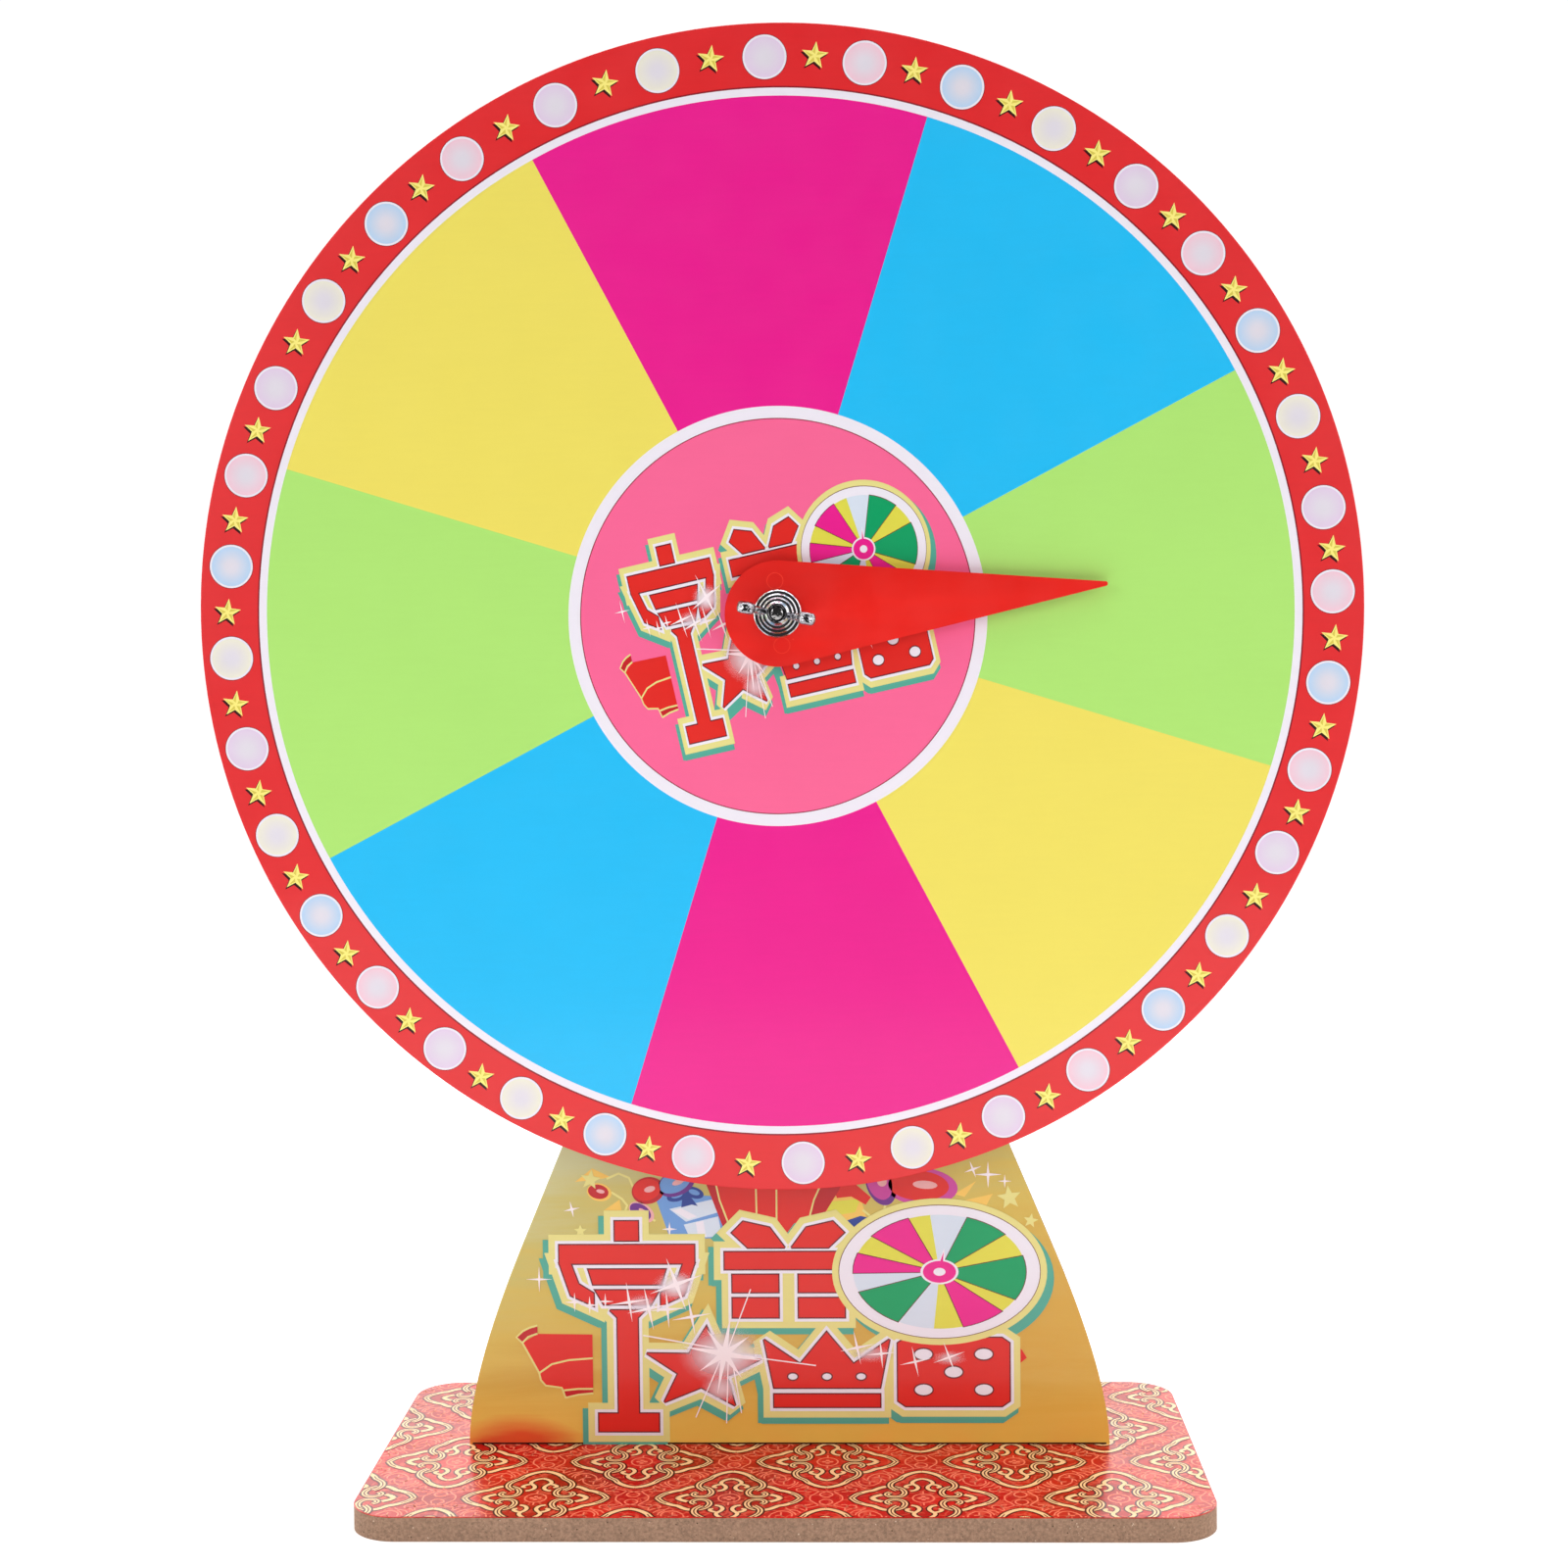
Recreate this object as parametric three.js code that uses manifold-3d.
// Tabletop prize wheel: a fibreboard disc that spins on a small ball bearing in front of a
// flared upright, with a pointer held on the same bolt by a wing nut.
// Millimetres, +Z up, the front faces -Y, the origin is the centre of the base's underside.
import * as THREE from "three";
import { mergeVertices } from "three/addons/utils/BufferGeometryUtils.js";
import Module from "manifold-3d";

const wasm = await Module();
wasm.setup();

// ---- Driving dimensions -------------------------------------------------------------------
const DISC_RADIUS = 150;
const BOARD = 5; // thickness of the disc, the upright and the brace
const FILM = 0.2; // thickness of each printed film
const FIT = 0.1; // gap on each side of a tenon in its slot
const RUNNING = 0.05; // gap between faces that turn against each other
const AXLE_ABOVE_BASE = 221; // from the base's printed top to the bolt

const BASE = { width: 215, depth: 110, thickness: 6, corner: 12 };
const FLOOR_OF_STAND = BASE.thickness + FILM;

const STAND = {
  footHalf: 85.4, // half the width at the foot
  footRise: 18.3, // where the foot's vertical side would meet the taper
  taper: 0.42, // half-width lost for each millimetre of height
  taperFrom: 54, // the height where the straight taper starts
  neckHalf: 22, // half the width of the rounded neck round the bolt
  neckFrom: 200, // the height where the neck's sides become vertical
  tenonIn: 25, // each foot tenon's inner and outer edge, from the middle
  tenonOut: 65,
};

const BRACE = {
  height: 95,
  reach: 44,
  toe: 8, // height of the blunt ends of its sloping edge
  tenonNear: 13, // the base tenon's ends, from the upright's back
  tenonFar: 33,
  tongueLow: 30, // the upright tenon's ends, from the foot
  tongueHigh: 60,
};

const BOLT = { radius: 1.9, length: 25, headHeight: 2.8, acrossFlats: 7 };
const BORE_RADIUS = 2; // of what sits on the bolt
const BACK_WASHER = { radius: 4.5, thickness: 0.8 };
const LOCK_NUT_HEIGHT = 3.2;
const SLEEVE_RADIUS = 3;
const REAR_SPACER_LENGTH = 2;
const FRONT_SPACER_LENGTH = 1.5;

const BEARING = {
  outer: 6.5,
  width: 5,
  pitch: 4.25, // radius of the circle of ball centres
  ball: 1.19,
  balls: 7,
  play: 0.06, // between a ball and its groove
  innerShoulder: 3.4,
  outerShoulder: 5.1,
  shieldSeat: 5.65,
  shieldStep: 0.3,
  shieldThickness: 0.25,
  shieldInner: 3.55,
};

const POINTER = { tail: 13.6, tip: 84.6, tipRadius: 0.6, thickness: 2, tilt: 4.6 };
const POINTER_WASHER = { radius: 6.1, thickness: 1 };
const WING_NUT = {
  baseRadius: 4.5,
  noseRadius: 3,
  bossHeight: 4.6,
  webThickness: 2.2,
  earThickness: 3.2,
  turn: 11,
};

// ---- Places along the bolt: each is the front face of one layer -----------------------------
const STAND_FRONT = 0;
const STAND_BACK = STAND_FRONT + BOARD;
const HEAD_SEAT = STAND_BACK + BACK_WASHER.thickness;
const STAND_FILM_FRONT = STAND_FRONT - FILM;
const LOCK_NUT_FRONT = STAND_FILM_FRONT - LOCK_NUT_HEIGHT;
const REAR_SPACER_FRONT = LOCK_NUT_FRONT - REAR_SPACER_LENGTH;
const DISC_FRONT = REAR_SPACER_FRONT - BOARD;
const DISC_FILM_FRONT = DISC_FRONT - FILM;
const FRONT_SPACER_FRONT = DISC_FRONT - FRONT_SPACER_LENGTH;
const POINTER_BACK = FRONT_SPACER_FRONT - RUNNING;
const POINTER_FRONT = POINTER_BACK - POINTER.thickness;
const POINTER_WASHER_FRONT = POINTER_FRONT - RUNNING - POINTER_WASHER.thickness;
const WING_NUT_BACK = POINTER_WASHER_FRONT - RUNNING;
const BEARING_MIDDLE = REAR_SPACER_FRONT - BEARING.width / 2;

const deg = THREE.MathUtils.degToRad;
const v2 = (x, y) => new THREE.Vector2(x, y);

// ---- Materials ------------------------------------------------------------------------------
const material = (color, roughness, metalness = 0) =>
  new THREE.MeshStandardMaterial({ color, roughness, metalness });

const fibreboard = material(0x957661, 0.9);
const discPrint = material(0xeb373c, 0.35);
const standPrint = material(0xd9b061, 0.3);
const basePrint = material(0xc83a2a, 0.2);
const redPlastic = material(0xe7281b, 0.35);
const chrome = material(0xd8d8dc, 0.12, 1);
const zincSteel = material(0xb9bcc0, 0.35, 1);
const bearingSteel = material(0xc4c6c8, 0.25, 1);

// ---- Shape helpers --------------------------------------------------------------------------

// A closed solid turned round the Y axis. The profile is a loop of (radius, y) points.
function turned(points, segments = 48) {
  const loop = THREE.ShapeUtils.area(points) > 0 ? [...points] : [...points].reverse();
  const onAxis = loop.some((p) => p.x === 0);
  if (!onAxis) loop.push(loop[0].clone());
  return new THREE.LatheGeometry(loop, segments);
}

// A washer-like sleeve between two y planes.
function sleeve(inner, outer, back, front, segments) {
  const points = [v2(inner, back), v2(outer, back), v2(outer, front), v2(inner, front)];
  return turned(points, segments);
}

// A flat plate: the shape extruded upwards from z = 0.
function plate(shape, thickness, curveSegments = 16) {
  return new THREE.ExtrudeGeometry(shape, { depth: thickness, bevelEnabled: false, curveSegments });
}

function roundHole(x, y, radius) {
  const hole = new THREE.Path();
  hole.absarc(x, y, radius, 0, 2 * Math.PI, true);
  return hole;
}

// A box of that width, depth and height, with its middle at (x, y) and at z = 0.
function box(width, depth, height, x, y) {
  return new THREE.BoxGeometry(width, depth, height).translate(x, y, 0);
}

function hexagon(acrossFlats) {
  const reach = acrossFlats / Math.sqrt(3);
  const corner = (i) => v2(reach * Math.cos(deg(60 * i)), reach * Math.sin(deg(60 * i)));
  return new THREE.Shape([0, 1, 2, 3, 4, 5].map(corner));
}

// Booleans: each geometry becomes a solid of shared vertices, and the result comes back as one.
function solid(geometry) {
  const bare = geometry.index ? geometry.toNonIndexed() : geometry.clone();
  bare.deleteAttribute("normal");
  bare.deleteAttribute("uv");
  const merged = mergeVertices(bare, 1e-4);
  const vertProperties = merged.attributes.position.array;
  const triVerts = new Uint32Array(merged.index.array);
  return new wasm.Manifold(new wasm.Mesh({ numProp: 3, vertProperties, triVerts }));
}

function toGeometry(body) {
  const mesh = body.getMesh();
  const geometry = new THREE.BufferGeometry();
  geometry.setAttribute("position", new THREE.BufferAttribute(mesh.vertProperties, 3));
  geometry.setIndex(new THREE.BufferAttribute(mesh.triVerts, 1));
  geometry.computeVertexNormals();
  return geometry;
}

function joined(...geometries) {
  return toGeometry(geometries.map(solid).reduce((a, b) => a.add(b)));
}

function cut(geometry, ...tools) {
  return toGeometry(tools.map(solid).reduce((a, b) => a.subtract(b), solid(geometry)));
}

// ---- Assembly -------------------------------------------------------------------------------
const spinner = new THREE.Group();
const axle = new THREE.Group(); // everything on the bolt, with the bolt's axis as its Y axis
axle.position.z = FLOOR_OF_STAND + AXLE_ABOVE_BASE;
spinner.add(axle);

function add(parent, name, geometry, look) {
  const mesh = new THREE.Mesh(geometry, look);
  mesh.name = name;
  parent.add(mesh);
  return mesh;
}

// A plate that stands upright: its shape's y is up, and it runs back from its front face.
function addUpright(parent, name, geometry, look, back) {
  const mesh = add(parent, name, geometry, look);
  mesh.rotation.x = Math.PI / 2;
  mesh.position.y = back;
  return mesh;
}

// ---- Base: a rounded board with slots for the upright and the brace, and its printed film ---
function baseLayer(thickness) {
  const x = BASE.width / 2;
  const y = BASE.depth / 2;
  const r = BASE.corner;
  const shape = new THREE.Shape();
  shape.absarc(x - r, y - r, r, 0, Math.PI / 2);
  shape.absarc(-x + r, y - r, r, Math.PI / 2, Math.PI);
  shape.absarc(-x + r, -y + r, r, Math.PI, 1.5 * Math.PI);
  shape.absarc(x - r, -y + r, r, 1.5 * Math.PI, 2 * Math.PI);
  const middle = (STAND.tenonIn + STAND.tenonOut) / 2;
  const length = STAND.tenonOut - STAND.tenonIn + 2 * FIT;
  const footSlot = (side) =>
    box(length, BOARD + 2 * FIT, 3 * thickness, side * middle, (STAND_FRONT + STAND_BACK) / 2);
  const braceSlot = box(
    BOARD + 2 * FIT,
    BRACE.tenonFar - BRACE.tenonNear + 2 * FIT,
    3 * thickness,
    0,
    STAND_BACK + (BRACE.tenonNear + BRACE.tenonFar) / 2,
  );
  return cut(plate(shape, thickness), footSlot(-1), footSlot(1), braceSlot);
}

add(spinner, "base_board", baseLayer(BASE.thickness), fibreboard);
add(spinner, "base_top_film", baseLayer(FILM), basePrint).position.z = BASE.thickness;

// ---- Upright: a flared foot, a straight taper and a rounded neck round the bolt -------------
function standOutline(withTenons) {
  const { footHalf, footRise, taper, taperFrom, neckHalf, neckFrom } = STAND;
  const halfAt = (height) => footHalf - taper * (height - footRise);
  const neckKnee = footRise + (footHalf - neckHalf) / taper;
  const taperTo = 2 * neckKnee - neckFrom;
  const shape = new THREE.Shape();
  shape.moveTo(footHalf, 0);
  shape.quadraticCurveTo(footHalf, footRise, halfAt(taperFrom), taperFrom);
  shape.lineTo(halfAt(taperTo), taperTo);
  shape.quadraticCurveTo(neckHalf, neckKnee, neckHalf, neckFrom);
  shape.lineTo(neckHalf, AXLE_ABOVE_BASE);
  shape.absarc(0, AXLE_ABOVE_BASE, neckHalf, 0, Math.PI);
  shape.lineTo(-neckHalf, neckFrom);
  shape.quadraticCurveTo(-neckHalf, neckKnee, -halfAt(taperTo), taperTo);
  shape.lineTo(-halfAt(taperFrom), taperFrom);
  shape.quadraticCurveTo(-footHalf, footRise, -footHalf, 0);
  if (withTenons) {
    for (const side of [-1, 1]) {
      const ends = [side * STAND.tenonIn, side * STAND.tenonOut].sort((a, b) => a - b);
      shape.lineTo(ends[0], 0);
      shape.lineTo(ends[0], -FLOOR_OF_STAND);
      shape.lineTo(ends[1], -FLOOR_OF_STAND);
      shape.lineTo(ends[1], 0);
    }
  }
  shape.holes.push(roundHole(0, AXLE_ABOVE_BASE, BORE_RADIUS));
  return shape;
}

const tongueSlot = box(
  BOARD + 2 * FIT,
  BRACE.tongueHigh - BRACE.tongueLow + 2 * FIT,
  3 * BOARD,
  0,
  (BRACE.tongueLow + BRACE.tongueHigh) / 2,
);
const slottedStand = cut(plate(standOutline(true), BOARD), tongueSlot);
const upright = addUpright(spinner, "stand_board", slottedStand, fibreboard, STAND_BACK);
upright.position.z = FLOOR_OF_STAND;
const uprightFilm = addUpright(
  spinner,
  "stand_front_film",
  plate(standOutline(false), FILM),
  standPrint,
  STAND_FRONT,
);
uprightFilm.position.z = FLOOR_OF_STAND;

// ---- Brace: a gusset behind the upright, tenoned into the upright and the base --------------
function braceShape() {
  const { height, reach, toe, tenonNear, tenonFar, tongueLow, tongueHigh } = BRACE;
  const shape = new THREE.Shape();
  shape.moveTo(0, 0);
  shape.lineTo(tenonNear, 0);
  shape.lineTo(tenonNear, -FLOOR_OF_STAND);
  shape.lineTo(tenonFar, -FLOOR_OF_STAND);
  shape.lineTo(tenonFar, 0);
  shape.lineTo(reach, 0);
  shape.lineTo(reach, toe);
  shape.quadraticCurveTo(reach * 0.35, height * 0.35, toe, height);
  shape.lineTo(0, height);
  shape.lineTo(0, tongueHigh);
  shape.lineTo(-BOARD, tongueHigh);
  shape.lineTo(-BOARD, tongueLow);
  shape.lineTo(0, tongueLow);
  return shape;
}

const brace = add(spinner, "rear_brace", plate(braceShape(), BOARD), fibreboard);
brace.rotation.set(Math.PI / 2, Math.PI / 2, 0); // the shape's x runs to the back, its y up
brace.position.set(-BOARD / 2, STAND_BACK, FLOOR_OF_STAND);

// ---- Bolt and the pieces fixed to it --------------------------------------------------------
const shank = turned([
  v2(0, HEAD_SEAT + BOLT.headHeight / 2),
  v2(BOLT.radius, HEAD_SEAT + BOLT.headHeight / 2),
  v2(BOLT.radius, HEAD_SEAT - BOLT.length + 0.5),
  v2(BOLT.radius - 0.5, HEAD_SEAT - BOLT.length),
  v2(0, HEAD_SEAT - BOLT.length),
], 24);
const head = plate(hexagon(BOLT.acrossFlats), BOLT.headHeight).rotateX(Math.PI / 2);
head.translate(0, HEAD_SEAT + BOLT.headHeight, 0);
add(axle, "spindle_bolt", joined(shank, head), zincSteel);

add(
  axle,
  "bolt_back_washer",
  sleeve(BORE_RADIUS, BACK_WASHER.radius, HEAD_SEAT, STAND_BACK, 24),
  zincSteel,
);

const nutShape = hexagon(BOLT.acrossFlats);
nutShape.holes.push(roundHole(0, 0, BORE_RADIUS));
addUpright(axle, "bolt_lock_nut", plate(nutShape, LOCK_NUT_HEIGHT), zincSteel, STAND_FILM_FRONT);

add(
  axle,
  "rear_spacer",
  sleeve(BORE_RADIUS, SLEEVE_RADIUS, LOCK_NUT_FRONT, REAR_SPACER_FRONT, 24),
  zincSteel,
);
add(
  axle,
  "front_spacer",
  sleeve(BORE_RADIUS, SLEEVE_RADIUS, DISC_FRONT, FRONT_SPACER_FRONT, 24),
  zincSteel,
);

// ---- Ball bearing pressed into the disc -----------------------------------------------------
const bearing = new THREE.Group();
bearing.position.y = BEARING_MIDDLE;
axle.add(bearing);

// The groove's arc in a ring's wall, from one shoulder edge to the other. side is -1 on the
// inner ring, whose groove bulges towards the axis, and 1 on the outer ring.
function grooveArc(shoulder, side) {
  const radius = BEARING.ball + BEARING.play;
  const edge = Math.acos(Math.abs(shoulder - BEARING.pitch) / radius);
  const steps = 4;
  const points = [];
  for (let i = 0; i <= steps; i++) {
    const a = edge * ((2 * i) / steps - 1);
    points.push(v2(BEARING.pitch + side * radius * Math.cos(a), radius * Math.sin(a)));
  }
  return points;
}

const halfWidth = BEARING.width / 2;
const innerRing = turned([
  v2(BORE_RADIUS, halfWidth),
  v2(BORE_RADIUS, -halfWidth),
  v2(BEARING.innerShoulder, -halfWidth),
  ...grooveArc(BEARING.innerShoulder, -1),
  v2(BEARING.innerShoulder, halfWidth),
], 24);
add(bearing, "bearing_inner_ring", innerRing, bearingSteel);

const shieldPlane = halfWidth - BEARING.shieldStep;
const outerRing = turned([
  v2(BEARING.outer, halfWidth),
  v2(BEARING.outer, -halfWidth),
  v2(BEARING.shieldSeat, -halfWidth),
  v2(BEARING.shieldSeat, -shieldPlane),
  v2(BEARING.outerShoulder, -shieldPlane),
  ...grooveArc(BEARING.outerShoulder, 1),
  v2(BEARING.outerShoulder, shieldPlane),
  v2(BEARING.shieldSeat, shieldPlane),
  v2(BEARING.shieldSeat, halfWidth),
], 30);
add(bearing, "bearing_outer_ring", outerRing, bearingSteel);

const pocket = () => new THREE.SphereGeometry(BEARING.ball + 0.1, 10, 8);
const ballAngle = (i) => (2 * Math.PI * i) / BEARING.balls;
const ballPlace = (i) => [
  BEARING.pitch * Math.cos(ballAngle(i)),
  0,
  BEARING.pitch * Math.sin(ballAngle(i)),
];
const ballNumbers = Array.from({ length: BEARING.balls }, (_, i) => i);
for (const i of ballNumbers) {
  const ball = new THREE.SphereGeometry(BEARING.ball, 10, 6);
  add(bearing, `bearing_ball_${i + 1}`, ball, chrome).position.set(...ballPlace(i));
}

const cageBody = sleeve(BEARING.pitch - 0.5, BEARING.pitch + 0.5, 1.75, -0.35, 28);
const pockets = ballNumbers.map((i) => pocket().translate(...ballPlace(i)));
add(bearing, "bearing_cage", cut(cageBody, ...pockets), bearingSteel);

for (const [name, side] of [["bearing_front_shield", -1], ["bearing_rear_shield", 1]]) {
  const near = side * shieldPlane;
  const far = side * (shieldPlane + BEARING.shieldThickness);
  const rim = BEARING.shieldSeat - 0.05;
  add(bearing, name, sleeve(BEARING.shieldInner, rim, near, far, 30), bearingSteel);
}

// ---- Disc and its printed film --------------------------------------------------------------
const discHole = BEARING.outer + 0.05;
const discBack = DISC_FRONT + BOARD;
add(axle, "disc_board", sleeve(discHole, DISC_RADIUS, discBack, DISC_FRONT, 96), fibreboard);
add(
  axle,
  "disc_face_film",
  sleeve(discHole, DISC_RADIUS, DISC_FRONT, DISC_FILM_FRONT, 96),
  discPrint,
);

// ---- Pointer: a round tail on the bolt and two straight sides that meet in a blunt tip ------
function pointerShape() {
  const { tail, tip, tipRadius } = POINTER;
  const tipCentre = tip - tipRadius;
  const lean = Math.acos((tail - tipRadius) / tipCentre);
  const shape = new THREE.Shape();
  shape.absarc(0, 0, tail, lean, 2 * Math.PI - lean);
  shape.absarc(tipCentre, 0, tipRadius, -lean, lean);
  shape.holes.push(roundHole(0, 0, BORE_RADIUS + 0.1));
  return shape;
}

const pointerGroup = new THREE.Group();
pointerGroup.rotation.y = deg(-POINTER.tilt);
axle.add(pointerGroup);
const pointerPlate = plate(pointerShape(), POINTER.thickness, 24);
addUpright(pointerGroup, "pointer", pointerPlate, redPlastic, POINTER_BACK);

// ---- Washer and wing nut --------------------------------------------------------------------
const washerBack = POINTER_WASHER_FRONT + POINTER_WASHER.thickness;
add(
  axle,
  "pointer_washer",
  sleeve(BORE_RADIUS, POINTER_WASHER.radius, washerBack, POINTER_WASHER_FRONT, 32),
  chrome,
);

// One wing in the plane of the bolt's axis: x is the distance from the axis, y the height above
// the nut's seat. The web rises from the boss, and the thicker ear is what the fingers turn.
const webOutline = [[2.6, 0.6], [4.8, 1.2], [8.2, 4.4], [9.8, 7], [6, 8.6], [5, 6.6], [2.6, 4.3]];
const earOutline = [[5.2, 6.4], [9.3, 6], [10, 7.4], [10, 9.5], [9, 10.5], [6.6, 10.5], [5.5, 9.4]];
const outline = (points) => new THREE.Shape(points.map(([x, y]) => v2(x, y)));

function wing() {
  const web = plate(outline(webOutline), WING_NUT.webThickness);
  web.translate(0, 0, -WING_NUT.webThickness / 2);
  const ear = plate(outline(earOutline), WING_NUT.earThickness);
  ear.translate(0, 0, -WING_NUT.earThickness / 2);
  return joined(web, ear);
}

const boss = turned([
  v2(BORE_RADIUS, 0),
  v2(WING_NUT.baseRadius, 0),
  v2(WING_NUT.baseRadius, 0.8),
  v2(WING_NUT.noseRadius, WING_NUT.bossHeight),
  v2(BORE_RADIUS, WING_NUT.bossHeight),
], 32);
const nut = add(
  axle,
  "wing_nut",
  joined(boss, wing(), wing().rotateY(Math.PI)),
  chrome,
);
nut.rotation.set(Math.PI, -deg(WING_NUT.turn), 0); // turned over, so that its wings point forwards
nut.position.y = WING_NUT_BACK;

export default spinner;
